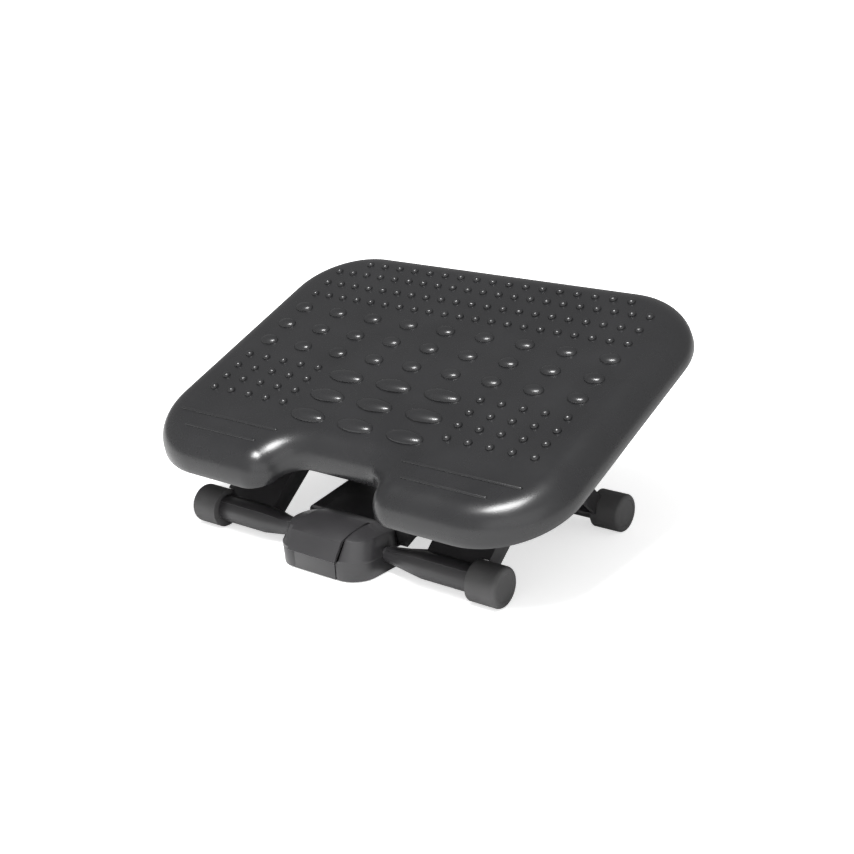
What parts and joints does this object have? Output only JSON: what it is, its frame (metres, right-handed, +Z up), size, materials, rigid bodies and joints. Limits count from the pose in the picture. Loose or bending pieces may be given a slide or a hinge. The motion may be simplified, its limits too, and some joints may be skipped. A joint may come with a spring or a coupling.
{
  "type": "tilting under desk footrest",
  "caption": "Tilting under desk footrest: a bumpy moulded platform on a folding A-frame with round rubber feet and a foot pedal that frees the height.",
  "frame": {"origin": "on the floor, below the centre of the whole footrest's outline, with the feet standing on Z = 0", "axes": "+X to the user's right, +Y away from the user to the raised rear edge, +Z up"},
  "size_m": [0.45, 0.3169, 0.2114],
  "materials": {
    "deck_plastic": "satin moulded, dark charcoal",
    "frame_plastic": "satin moulded, dark charcoal",
    "rubber_feet": "matte",
    "nylon_bush": "natural nylon",
    "friction_pad": "matte",
    "zinc_steel": "zinc plated"
  },
  "bodies": {
    "housing": {"housing_base": "frame_plastic", "housing_cover": "frame_plastic", "housing_screws": "zinc_steel", "pedal_pin": "zinc_steel", "lock_cover": "frame_plastic", "lock_cover_screws": "zinc_steel", "lever_pin": "zinc_steel"},
    "pedal": {"pedal": "frame_plastic"},
    "lock_lever": {"lock_lever": "frame_plastic", "lock_shoe": "friction_pad", "lock_spring": "zinc_steel"},
    "front_frame": {"front_frame": "frame_plastic", "front_foot_right": "rubber_feet", "front_foot_left": "rubber_feet", "front_frame_bushes": "nylon_bush"},
    "rear_frame": {"rear_frame": "frame_plastic", "rear_foot_right": "rubber_feet", "rear_foot_left": "rubber_feet", "rear_frame_bushes": "nylon_bush"},
    "axle": {"axle": "zinc_steel", "axle_washers": "zinc_steel", "axle_nuts": "zinc_steel"},
    "platform": {"platform": "deck_plastic", "pivot_cap_right": "frame_plastic", "pivot_cap_left": "frame_plastic", "pivot_cap_screws": "zinc_steel"},
    "arm": {"arm": "frame_plastic", "arm_eye_cap": "frame_plastic", "arm_eye_screws": "zinc_steel"}
  },
  "joints": [
    {"name": "height_fold", "type": "hinge", "parent": "housing", "child": "front_frame", "pos_m": [0, -0.11488, 0.0176], "axis": [1, 0, 0], "range_deg": [-17, 0]},
    {"name": "rear_fold", "type": "hinge", "parent": "front_frame", "child": "rear_frame", "pos_m": [0, -0.01538, 0.10854], "axis": [1, 0, 0], "range_deg": [0, 34]},
    {"name": "axle_level", "type": "hinge", "parent": "front_frame", "child": "axle", "pos_m": [0, -0.01538, 0.10854], "axis": [1, 0, 0], "range_deg": [0, 17]},
    {"name": "platform_tilt", "type": "hinge", "parent": "axle", "child": "platform", "pos_m": [0, -0.01538, 0.10854], "axis": [1, 0, 0], "range_deg": [-30, 0]},
    {"name": "arm_level", "type": "hinge", "parent": "rear_frame", "child": "arm", "pos_m": [0, 0.08412, 0.0176], "axis": [1, 0, 0], "range_deg": [-17, 0]},
    {"name": "pedal_press", "type": "hinge", "parent": "housing", "child": "pedal", "pos_m": [0, -0.14338, 0.03], "axis": [1, 0, 0], "range_deg": [-5, 0], "stiffness_Nm_per_rad": 2, "springref_deg": 2.86},
    {"name": "lock_release", "type": "hinge", "parent": "housing", "child": "lock_lever", "pos_m": [0, -0.08088, 0.03], "axis": [1, 0, 0], "range_deg": [0, 11]}
  ],
  "couplings": [
    {"joint": "rear_fold", "follows": "height_fold", "ratio": -2},
    {"joint": "axle_level", "follows": "height_fold", "ratio": -1},
    {"joint": "arm_level", "follows": "height_fold", "ratio": 1},
    {"joint": "lock_release", "follows": "pedal_press", "ratio": -2.2}
  ]
}
